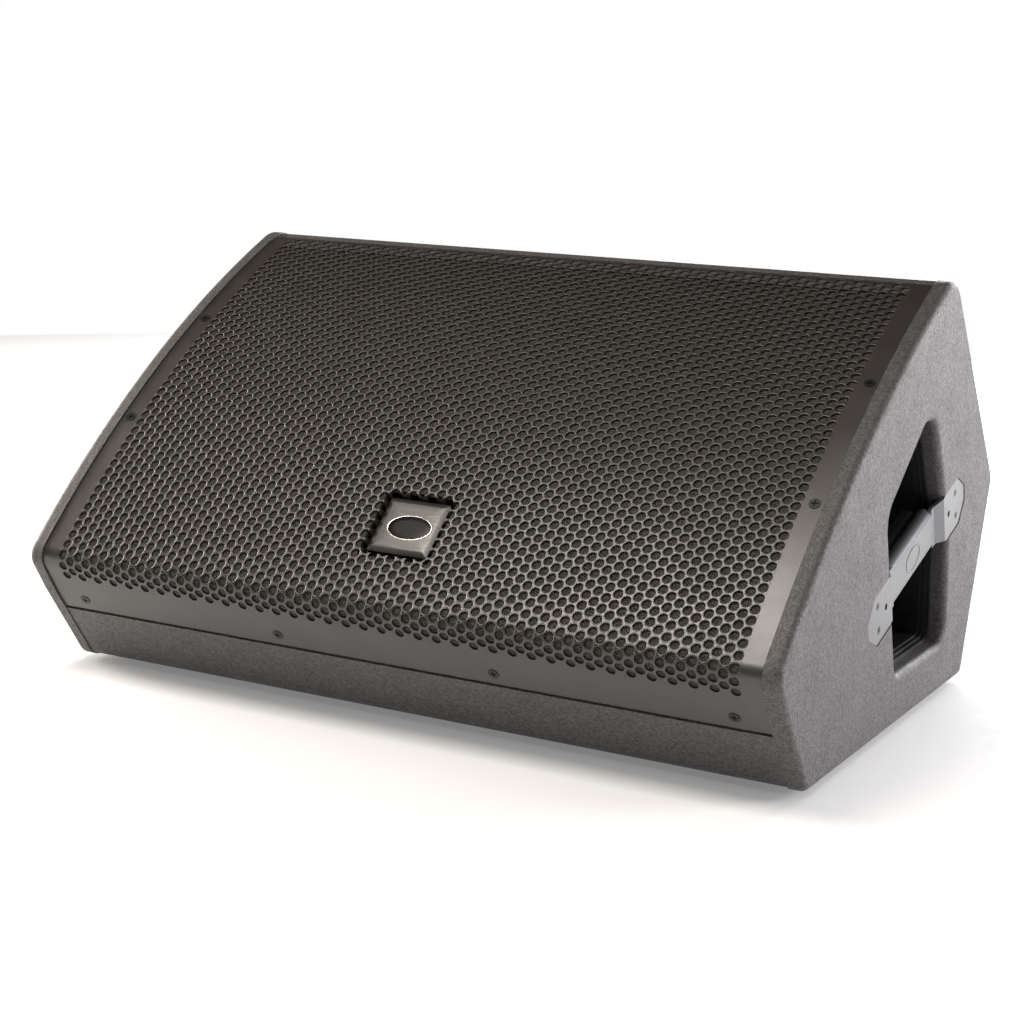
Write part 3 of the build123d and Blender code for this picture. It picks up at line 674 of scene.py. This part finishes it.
# ------------------------------------------------------------- the sloping face
@dataclass
class FaceLine:
    """The line of the grille's outer face in the side view.

    A place on it is s, the length up the line counted so that the grille's
    top edge is at top. From the foot it runs up the front, over the lip bend,
    round the chin, and along an arc whose rise over its chord is bulge.
    """

    crown: tuple[float, float] = (303.8 * MM, 379.6 * MM)
    chin: tuple[float, float] = (-73.1 * MM, 106.4 * MM)
    lip: tuple[float, float] = (-51.1 * MM, 71.3 * MM)
    bulge: float = 23.9 * MM
    inset: float = 1.6 * MM
    chin_radius: float = 15.4 * MM
    top: float = 447.0 * MM
    foot: float = 67.0 * MM
    table: Array = field(init=False)
    bend: tuple[float, float] = field(init=False)
    lip_s: float = field(init=False)
    foot_s: float = field(init=False)

    def __post_init__(self) -> None:
        """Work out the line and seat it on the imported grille."""
        crown, chin, lip = (np.array(p) for p in (self.crown, self.chin, self.lip))
        up = unit(crown - chin)
        out = np.array([-up[1], up[0]])
        chord = float(np.linalg.norm(crown - chin))
        radius = (chord ** 2 / 4 + self.bulge ** 2) / (2 * self.bulge)
        centre = (crown + chin) / 2 + out * (self.bulge - radius)
        half = math.asin(chord / 2 / radius)
        reach = radius - self.inset

        down, fore = unit(lip - chin), unit(lip)
        into_down, into_fore = np.array([-down[1], down[0]]), np.array([fore[1], -fore[0]])
        start = chin + into_down * (self.inset + self.chin_radius) - centre
        along = float(start @ down)
        span = math.sqrt(along ** 2 - float(start @ start) + (reach - self.chin_radius) ** 2)
        step = min((-along + span, -along - span), key=abs)
        pivot = centre + start + down * step
        meet = unit(pivot - centre)
        low_turn, high_turn = (math.atan2(v[1], v[0]) for v in (-into_down, meet))
        whole = 2 * math.pi * round((high_turn - low_turn) / (2 * math.pi))
        turn = np.linspace(low_turn, high_turn - whole, 90)
        bend = pivot + self.chin_radius * np.stack([np.cos(turn), np.sin(turn)], axis=-1)
        sweep = np.linspace(math.atan2(meet @ up, meet @ out), self.top / radius - half, 1800)[1:, None]
        arc = centre + reach * (up * np.sin(sweep) + out * np.cos(sweep))

        base = chin + into_down * self.inset
        gap = fore * np.linalg.norm(lip) + into_fore * self.inset - base
        lip_in = base + down * (float(np.cross(gap, fore)) / float(np.cross(down, fore)))
        foot = fore * self.foot + into_fore * self.inset
        line = np.vstack([foot, lip_in, bend, arc])
        length = np.concatenate([[0], np.cumsum(np.linalg.norm(np.diff(line, axis=0), axis=1))])
        s = length - length[-1] + self.top
        self.foot_s, self.lip_s, self.bend = s[0], s[1], (s[2], s[91])
        low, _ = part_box("grille")
        line = line + (np.array([low.y, low.z]) - line.min(0))
        slope = np.arctan2(*np.diff(line, axis=0).T[::-1])
        middle = (s[1:] + s[:-1]) / 2
        self.table = np.column_stack([s, line, np.interp(s, middle, slope)])

    def at(self, x: Array, s: Array, depth: Array | float = 0.0) -> Array:
        """Points below the face: the line's point less depth times its normal."""
        y, z = (np.interp(s, self.table[:, 0], self.table[:, k]) for k in (1, 2))
        on_line = np.stack([np.broadcast_to(x, y.shape), y, z], axis=-1)
        return on_line - self.out(s) * np.asarray(depth)[..., None]

    def out(self, s: Array) -> Array:
        """Direction out of the face."""
        slope = np.interp(s, self.table[:, 0], self.table[:, 3])
        return np.stack([np.zeros_like(slope), -np.sin(slope), np.cos(slope)], axis=-1)

    def up(self, s: Array) -> Array:
        """Direction up the face."""
        slope = np.interp(s, self.table[:, 0], self.table[:, 3])
        return np.stack([np.zeros_like(slope), np.cos(slope), np.sin(slope)], axis=-1)


@dataclass
class Recess:
    """The square tray that is pressed into the grille for the badge."""

    half: float = 32.0 * MM
    radius: float = 5.0 * MM
    depth: float = 8.5 * MM
    s: float = 88.0 * MM
    wall: float = 2.6 * MM

    def sunk(self, x: Array, s: Array, spread: float = 0.0) -> Array:
        """Depth of the tray.

        The signed distance to a rounded square is eased by half a cosine over
        the width of the wall.

        Args:
            x: Places across the grille.
            s: Places up the grille.
            spread: How much larger the square is, for the sheet's inner side.

        Returns:
            Depth below the face at each place.
        """
        core = self.half - self.radius
        over = np.stack([np.abs(x) - core, np.abs(s - self.s) - core])
        away = np.hypot(*np.maximum(over, 0)) + np.minimum(over.max(0), 0) - self.radius
        share = np.clip((spread - away) / self.wall, 0, 1)
        return self.depth * (0.5 - 0.5 * np.cos(math.pi * share))

    def lean(self, x: Array, s: Array, spread: float = 0.0) -> tuple[Array, Array]:
        """Change of depth across and up the face, by central differences."""
        step = 0.02 * MM
        across = self.sunk(x + step, s, spread) - self.sunk(x - step, s, spread)
        along = self.sunk(x, s + step, spread) - self.sunk(x, s - step, spread)
        return across / (2 * step), along / (2 * step)

    def rings(self, spread: float) -> list[Array]:
        """Outlines in the plan where the wall starts, turns and ends."""
        offsets = np.linspace(-self.wall, spread, 11)
        return [rounded_square(self.half + o, self.radius + o, 4) + (0, self.s) for o in offsets]


@dataclass
class Grille:
    """Perforated steel grille, with the holes for its screws."""

    line: FaceLine
    recess: Recess
    column: float = 8.586 * MM
    row: float = 9.931 * MM
    first: float = 450.95 * MM
    columns: int = 37
    rows: int = 46
    hole: float = 4.2 * MM
    sheet: float = 1.5 * MM
    stretch_below: float = 34.0 * MM
    stretch: float = 1.06
    screw_hole: float = 4.3 * MM
    front_screws: tuple[float, ...] = (-311 * MM, -104 * MM, 104 * MM, 311 * MM)
    front_screw_up: float = 12.5 * MM
    side_screws: tuple[tuple[float, float], ...] = ((331.5 * MM, 162 * MM), (331.5 * MM, 300 * MM))
    badge_half: float = 27.5 * MM

    def centres(self) -> Array:
        """Hole centres in the plan: rows staggered by half on every other column."""
        columns, rows = np.arange(-self.columns, self.columns + 1), np.arange(1, self.rows + 1)
        k, m = np.meshgrid(columns, rows, indexing="ij")
        s = self.first - self.row * (m + 0.5 * (k % 2))
        s = np.where(s < self.stretch_below, self.stretch_below - (self.stretch_below - s) * self.stretch, s)
        spots = np.column_stack([(k * self.column).ravel(), s.ravel()])
        clear = np.abs(spots - (0, self.recess.s)).max(1) + self.hole > self.badge_half
        return spots[clear]

    def screw_spots(self) -> Array:
        """Screw centres in the plan."""
        low = [(x, self.line.foot_s + self.front_screw_up) for x in self.front_screws]
        sides = [(side * x, s) for x, s in self.side_screws for side in (-1, 1)]
        return np.array(low + sides)

    @staticmethod
    def rings(centres: Array, radius: float, count: int) -> Array:
        """Polygons of count points round each centre, no point due right."""
        turn = (np.arange(count) + 0.5) * 2 * math.pi / count
        return centres[:, None] + radius * np.stack([np.cos(turn), np.sin(turn)], axis=-1)

    def plan(self, half: float) -> tuple[Array, Array]:
        """Cut the flat blank into triangles.

        The outline, the bend lines and the recess rings are edges that the
        triangles keep, and what lies in a hole is dropped.

        Args:
            half: Half of the grille's width.

        Returns:
            Plan points (x, s) and triangles.
        """
        spread = self.sheet * 0.95
        side = np.linspace(self.line.foot_s, self.line.top, 90)
        right = np.column_stack([np.full_like(side, half), side])
        loops = [np.vstack([right, right[::-1] * (-1, 1)])]
        loops += self.recess.rings(spread)
        holes = list(self.rings(self.centres(), self.hole, 12))
        holes += list(self.rings(self.screw_spots(), self.screw_hole, 20))
        levels = [self.line.lip_s, *np.linspace(*self.line.bend, 8)]
        guides = [np.array([(-half, s), (half, s)]) for s in levels]
        points = np.vstack(holes + loops + guides) / MM
        starts = np.cumsum([0] + [len(ring) for ring in holes + loops + guides])
        cut = [list(range(starts[i], starts[i + 1])) for i in range(len(holes))]
        kept_loops = range(len(holes), len(holes) + len(loops))
        edges = [pair for i in kept_loops for pair in self._round(starts[i], starts[i + 1])]
        edges += [(starts[-1] - 2 * k - 2, starts[-1] - 2 * k - 1) for k in range(len(guides))]
        corners_in = [Vector(p) for p in points.tolist()]
        found, _, faces, _, _, inside = delaunay_2d_cdt(corners_in, edges, cut, 0, 1e-5, True)
        kept = np.array([face for face, hole in zip(faces, inside) if not hole])
        plan = np.array(found) * MM
        used = np.unique(kept)
        place = np.zeros(len(plan), int)
        place[used] = np.arange(len(used))
        return plan[used], place[kept]

    @staticmethod
    def _round(start: int, stop: int) -> list[tuple[int, int]]:
        """Edges of a closed ring of numbered points."""
        return [(i, i + 1 if i + 1 < stop else start) for i in range(start, stop)]

    def build(self) -> bpy.types.Object:
        """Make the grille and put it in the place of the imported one."""
        _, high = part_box("grille")
        plan, faces = self.plan(high.x)
        x, s = plan.T
        edge = plan[faces[:, 1]] - plan[faces[:, 0]], plan[faces[:, 2]] - plan[faces[:, 0]]
        turned = np.cross(*edge) < 0
        faces[turned] = faces[turned][:, ::-1]
        spread = self.sheet * 0.95
        looks = []
        for wide in (0.0, spread):
            across, along = self.recess.lean(x, s, wide)
            sideways = across[:, None] * np.array([1, 0, 0])
            looks.append(unit(self.line.out(s) + sideways + along[:, None] * self.line.up(s)))
        top = self.line.at(x, s, self.recess.sunk(x, s))
        bottom = self.line.at(x, s, self.recess.sunk(x, s, spread) + self.sheet)
        below = self.stretch_below - s
        lattice = np.where(below > 0, self.stretch_below - below / self.stretch, s)
        marks = np.column_stack([x / (2 * self.column), (self.first - lattice) / self.row])
        piece = Sheet(top, bottom, looks[0], -looks[1], faces).build("grille_sheet", Paint.GRILLE, marks)
        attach(piece, "cabinet")
        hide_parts("grille")
        return piece


@dataclass
class Foam:
    """Acoustic foam behind the grille, open round the badge's tray."""

    line: FaceLine
    recess: Recess
    behind: float = 1.8 * MM
    thick: float = 4.0 * MM
    low: float = -10.0 * MM
    high: float = 429.5 * MM
    clearance: float = 2.0 * MM
    swell: float = 0.12 * MM

    @staticmethod
    def _marks(ends: tuple[float, ...], counts: tuple[int, ...]) -> Array:
        """Grid places: each stretch between two ends is cut by its count of points."""
        spans = [np.linspace(a, b, n) for a, b, n in zip(ends[:-1], ends[1:], counts)]
        return np.unique(np.round(np.concatenate(spans), 7))

    def build(self) -> bpy.types.Object:
        """Make the foam: a grid on the face, lifted by a product of sines."""
        low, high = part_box("grille_foam")
        room = self.recess.half + self.clearance
        xs = self._marks((low.x, -room, room, high.x), (42, 10, 42))
        middle_s = self.recess.s
        ss = self._marks((self.low, middle_s - room, middle_s + room, self.high), (46, 10, 52))
        x, s = (grid.ravel() for grid in np.meshgrid(xs, ss, indexing="ij"))
        number = np.arange(len(x)).reshape(len(xs), len(ss))
        quads = [number[:-1, :-1], number[1:, :-1], number[1:, 1:], number[:-1, 1:]]
        faces = np.stack(quads, axis=-1).reshape(-1, 4)
        middle = np.column_stack([x, s])[faces].mean(1)
        faces = faces[np.abs(middle - (0, self.recess.s)).max(1) > room]
        used, faces = np.unique(faces, return_inverse=True)
        faces, x, s = faces.reshape(-1, 4), x[used], s[used]
        lift = self.swell * np.sin(x * 410) * np.sin(s * 370 + 0.7)
        top = self.line.at(x, s, self.behind + self.swell - lift)
        bottom = self.line.at(x, s, np.full_like(x, self.behind + self.thick))
        piece = Sheet(top, bottom, self.line.out(s), -self.line.out(s), faces).build("foam_sheet", Paint.FOAM)
        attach(piece, "cabinet")
        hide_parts("grille_foam")
        return piece


@dataclass
class Badge:
    """Bevelled metal badge with a bare oval."""

    line: FaceLine
    recess: Recess
    half: tuple[float, float] = (29.0 * MM, 27.5 * MM)
    corner: float = 2.6 * MM
    steps: tuple[tuple[float, float], ...] = (
        (0.0, 0.0), (0.0, 3.9), (0.12, 4.2), (0.45, 4.4), (4.3, 5.75),
        (4.9, 5.88), (5.8, 5.96), (12.0, 6.15), (20.0, 6.3), (26.4, 6.35),
    )
    oval: tuple[float, float] = (21.1 * MM, 12.3 * MM)
    oval_at: tuple[float, float] = (2.0 * MM, -1.4 * MM)

    def _local(self, points: Array) -> Array:
        """Move points from the badge's own frame to the recess floor."""
        s = np.array([self.recess.s])
        base = self.line.at(np.zeros(1), s, np.full(1, self.recess.depth))[0]
        right, up, out = np.array([1.0, 0, 0]), self.line.up(s)[0], self.line.out(s)[0]
        return base + points @ np.stack([right, up, out])

    def _ellipse(self, profile: list[tuple[float, float]]) -> Array:
        """Rings of an oval piece from (inset, height) pairs."""
        turn = np.linspace(0, 2 * math.pi, 96, endpoint=False)
        wide, tall = self.oval
        across, along = self.oval_at
        rings = [
            ((wide - i) * np.cos(turn) + across, (tall - i) * np.sin(turn) + along, np.full_like(turn, h))
            for i, h in profile
        ]
        return np.stack([np.column_stack(ring) for ring in rings])

    def build(self) -> list[bpy.types.Object]:
        """Make the plate, the oval's ring and its inlay."""
        rings = []
        for inset, height in self.steps:
            radius = max(self.corner - inset * MM * 0.5, 0.7 * MM)
            outline = rounded_square(self.half[1] - inset * MM, radius, 5)
            outline = outline + np.sign(outline) * (self.half[0] - self.half[1], 0)
            rings.append(np.column_stack([outline, np.full(len(outline), height * MM)]))
        points, faces = skin(np.stack(rings))
        plate = show("badge_plate", self._local(points), faces, Paint.BADGE)
        top = 6.22 * MM
        groove = [
            (0.0, top - 0.5 * MM), (0.0, top + 0.05 * MM), (0.25 * MM, top + 0.32 * MM),
            (0.7 * MM, top + 0.38 * MM), (1.1 * MM, top + 0.22 * MM), (1.2 * MM, top - 0.02 * MM),
        ]
        ring = show("badge_ring", *self._placed(self._ellipse(groove)), Paint.POLISHED_RING)
        inlay_rows = [
            (1.15 * MM, top - 0.4 * MM), (1.15 * MM, top + 0.12 * MM), (1.4 * MM, top + 0.19 * MM),
            (6.0 * MM, top + 0.23 * MM), (11.8 * MM, top + 0.25 * MM),
        ]
        inlay = show("badge_inlay", *self._placed(self._ellipse(inlay_rows)), Paint.ENAMEL)
        for piece in (plate, ring, inlay):
            smooth(piece)
            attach(piece, "cabinet")
        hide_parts("badge")
        return [plate, ring, inlay]

    def _placed(self, rings: Array) -> tuple[Array, list[list[int]]]:
        """Skin some rings and move them to the recess floor."""
        points, faces = skin(rings)
        return self._local(points), faces


# ----------------------------------------------------------- packed sub-assemblies
@dataclass
class Assembly:
    """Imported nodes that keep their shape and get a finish."""

    name: str
    finishes: dict[str, Paint]

    def dress(self) -> None:
        """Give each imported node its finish."""
        for node, paint in self.finishes.items():
            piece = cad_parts[node]
            if not piece.material_slots:
                piece.data.materials.append(paint.material)
            for slot in piece.material_slots:
                slot.material = paint.material
        LOG.info("%s: %d packed nodes dressed", self.name, len(self.finishes))


CABINET = Assembly("cabinet", {
    "side_left": Paint.CABINET, "side_right": Paint.CABINET, "floor_board": Paint.CABINET,
    "front_board": Paint.CABINET, "rear_lower_board": Paint.CABINET, "rear_upper_board": Paint.CABINET,
    "top_rail": Paint.CABINET, "baffle": Paint.BLACK_WOOD, "corner_battens": Paint.PLYWOOD,
    "grille_cleats": Paint.BLACK_WOOD, "damping_lining": Paint.WADDING, "feet": Paint.RUBBER_FOOT,
    "foot_screws": Paint.ZINC, "grille_screws": Paint.BLACK_SCREW,
})
HANDLES = Assembly("handles", {
    "handle_bar_left": Paint.HANDLE, "handle_bar_right": Paint.HANDLE,
    "handle_grip_left": Paint.GRIP, "handle_grip_right": Paint.GRIP,
    "handle_cup_left": Paint.CUP, "handle_cup_right": Paint.CUP,
    "handle_bolts": Paint.HANDLE, "handle_screws": Paint.BLACK_SCREW,
})
WOOFER = Assembly("woofer", {
    "woofer_basket": Paint.BASKET, "woofer_gasket": Paint.GASKET, "woofer_surround": Paint.SURROUND,
    "woofer_cone": Paint.CONE, "woofer_dust_cap": Paint.CONE, "woofer_spider": Paint.SPIDER,
    "woofer_top_plate": Paint.ZINC, "woofer_magnet": Paint.FERRITE, "woofer_pole": Paint.ZINC,
    "woofer_bolts": Paint.BLACK_SCREW, "coil_former": Paint.POLYIMIDE, "coil_winding": Paint.COPPER,
    "tee_nuts": Paint.ZINC,
})
HORN = Assembly("horn and driver", {
    "horn": Paint.HORN, "horn_screws": Paint.BLACK_SCREW, "driver_body": Paint.BASKET,
    "driver_magnet": Paint.FERRITE, "driver_cover": Paint.DRIVER_COVER, "driver_diaphragm": Paint.TITANIUM,
    "port_tubes": Paint.CUP,
})
CROSSOVER = Assembly("crossover", {
    "crossover_board": Paint.CIRCUIT, "crossover_pillars": Paint.NYLON, "crossover_screws": Paint.ZINC,
    "inductors": Paint.COPPER, "capacitors": Paint.CAPACITOR, "resistors": Paint.CERAMIC,
})
REAR_PANEL = Assembly("rear panel", {
    "connector_plate": Paint.PLATE, "plate_screws": Paint.BLACK_SCREW,
    "input_jack": Paint.JACK, "link_jack": Paint.JACK,
})


@dataclass
class HandleOvals:
    """Plain raised ovals on the two handle bars."""

    along: float = 18.0 * MM
    across: float = 10.0 * MM
    raised: float = 0.45 * MM
    bead: float = 0.9 * MM
    tilt: float = 17.9
    sunk: float = 6.0 * MM
    shift: tuple[float, float] = (1.0 * MM, -1.0 * MM)

    def _profile(self) -> tuple[tuple[float, float], ...]:
        """Section of the bead as (growth, height) pairs, from its foot outside to its field."""
        crest, lip = self.raised * 0.8, 0.2 * MM
        return (
            (0.0, -0.3 * MM), (0.0, 0.0), (-lip, crest), (-self.bead / 2, self.raised),
            (-self.bead + lip, crest), (-self.bead, 0.05 * MM), (-self.bead - 2 * MM, 0.04 * MM),
        )

    def build(self) -> list[bpy.types.Object]:
        """Make one oval bead on each side, on the face of the bar."""
        made = []
        for side, sign in (("right", 1.0), ("left", -1.0)):
            low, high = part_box("handle_bar_" + side)
            outer = max(abs(low.x), abs(high.x)) + 0.6 * MM - self.sunk
            middle = (low + high) / 2
            turn = np.linspace(0, 2 * math.pi, 72, endpoint=False) * sign
            tilt = math.radians(self.tilt)
            a, b = np.array([math.cos(tilt), math.sin(tilt)]), np.array([-math.sin(tilt), math.cos(tilt)])
            centre = np.array([middle.y, middle.z]) + a * self.shift[0] + b * self.shift[1]
            rings = []
            for grow, height in self._profile():
                flat = centre + np.outer(np.cos(turn) * (self.along + grow), a)
                flat = flat + np.outer(np.sin(turn) * (self.across + grow), b)
                rings.append(np.column_stack([np.full(len(turn), sign * (outer + height)), flat]))
            piece = show("handle_oval_" + side, *skin(np.stack(rings)), Paint.HANDLE)
            smooth(piece)
            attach(piece, "cabinet")
            made.append(piece)
        return made


# --------------------------------------------------------------------- the studio
@dataclass(frozen=True)
class Softbox:
    """A rectangular soft light aimed at a point."""

    name: str
    spot: Colour
    size: tuple[float, float]
    power: float
    aim: Colour = (0.0, 0.0, 0.15)
    tint: Colour = (1.0, 1.0, 1.0)

    def build(self) -> None:
        """Hang the light."""
        lamp = bpy.data.lights.new(self.name, "AREA")
        lamp.shape, lamp.size, lamp.size_y = "RECTANGLE", *self.size
        lamp.energy, lamp.color = self.power, self.tint
        holder = bpy.data.objects.new(self.name, lamp)
        bpy.context.scene.collection.objects.link(holder)
        holder.location, holder.visible_camera = self.spot, False
        aim = Vector(self.aim) - Vector(self.spot)
        holder.rotation_euler = aim.to_track_quat("-Z", "Y").to_euler()


@dataclass
class Studio:
    """Pale floor, soft lights, white surroundings and the camera."""

    floor_radius: float = 2.6
    fill: float = 0.04
    azimuth: float = 28.089
    elevation: float = 11.443
    roll: float = 1.823
    distance: float = 1.8815
    target: Colour = (0.0, -0.00611, 0.15339)
    lens: float = 72.82
    shift: tuple[float, float] = (-0.00989, -0.00331)
    lights: tuple[Softbox, ...] = (
        Softbox("rear_softbox", (0.0, 2.6, 0.8), (2.4, 1.2), 104.0),
        Softbox("left_softbox", (-2.3, 0.0, 0.7), (1.2, 1.2), 63.0, tint=(1.0, 0.93, 0.85)),
        Softbox("right_softbox", (2.3, 1.3, 0.7), (1.2, 1.2), 58.0, tint=(0.99, 0.96, 1.0)),
        Softbox(
            "overhead_softbox", (-0.45, -0.75, 1.7), (0.85, 0.6),
            20.5, (-0.45, -0.75, 0.0), (1.0, 0.93, 0.86),
        ),
        Softbox(
            "overhead_right_softbox", (0.4, -0.75, 1.7), (0.85, 0.6),
            4.0, (0.4, -0.75, 0.0), (1.0, 0.93, 0.86),
        ),
        Softbox("front_softbox", (0.4, -0.85, 0.95), (0.7, 0.4), 1.8, (0.0, -0.1, 0.15)),
    )

    def build_floor(self) -> None:
        """Lay the floor: a disc of rings round the origin."""
        turn = np.linspace(0, 2 * math.pi, 128, endpoint=False)
        wide = self.floor_radius
        levels = ((wide, -0.02), (wide, 0.0), (wide / 2, 0.0))
        rings = [(r * np.cos(turn), r * np.sin(turn), np.full_like(turn, z)) for r, z in levels]
        floor = show("floor", *skin(np.stack([np.column_stack(ring) for ring in rings])), Paint.PALE_FLOOR)

    def build_world(self) -> None:
        """Surround the set with a room that looks white and lights little."""
        world = bpy.data.worlds.new("white_room")
        bpy.context.scene.world = world
        world.use_nodes = True
        tree = world.node_tree
        tree.nodes.clear()
        path = tree.nodes.new("ShaderNodeLightPath")
        choice = tree.nodes.new("ShaderNodeMixShader")
        tree.links.new(path.outputs["Is Camera Ray"], choice.inputs[0])
        for place, strength in ((1, self.fill), (2, 1.0)):
            sky = tree.nodes.new("ShaderNodeBackground")
            sky.inputs["Color"].default_value = (1.0, 1.0, 1.0, 1.0)
            sky.inputs["Strength"].default_value = strength
            tree.links.new(sky.outputs[0], choice.inputs[place])
        out = tree.nodes.new("ShaderNodeOutputWorld")
        tree.links.new(choice.outputs[0], out.inputs["Surface"])

    def build_camera(self) -> None:
        """Stand the camera on its bearing round the target, rolled about its own axis."""
        turn, rise, roll = (math.radians(a) for a in (self.azimuth, self.elevation, self.roll))
        back = Vector((math.sin(turn) * math.cos(rise), -math.cos(turn) * math.cos(rise), math.sin(rise)))
        right = Vector((math.cos(turn), math.sin(turn), 0.0))
        up = back.cross(right)
        across = right * math.cos(roll) + up * math.sin(roll)
        upright = up * math.cos(roll) - right * math.sin(roll)
        lens = bpy.data.cameras.new("camera")
        lens.sensor_width, lens.lens = 36.0, self.lens
        lens.shift_x, lens.shift_y = self.shift
        camera = bpy.data.objects.new("camera", lens)
        bpy.context.scene.collection.objects.link(camera)
        place = Vector(self.target) + back * self.distance
        stance = Matrix((across, upright, back)).transposed().to_4x4()
        camera.matrix_world = Matrix.Translation(place) @ stance
        bpy.context.scene.camera = camera

    def build(self) -> None:
        """Set up the whole studio."""
        bpy.context.scene.view_settings.view_transform = "Standard"
        self.build_camera()
        self.build_world()
        self.build_floor()
        for light in self.lights:
            light.build()


def main() -> None:
    """Build the wedge in order and log the face count of each new piece."""
    logging.basicConfig(level=logging.INFO, format="%(message)s")
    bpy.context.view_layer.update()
    Studio().build()
    for assembly in (CABINET, HANDLES, WOOFER, HORN, CROSSOVER, REAR_PANEL):
        assembly.dress()
    line, recess = FaceLine(), Recess()
    grille = Grille(line, recess).build()
    LOG.info("%s: %d faces", grille.name, len(grille.data.polygons))
    foam = Foam(line, recess).build()
    LOG.info("%s: %d faces", foam.name, len(foam.data.polygons))
    for piece in Badge(line, recess).build() + HandleOvals().build():
        LOG.info("%s: %d faces", piece.name, len(piece.data.polygons))


if __name__ == "__main__":
    main()
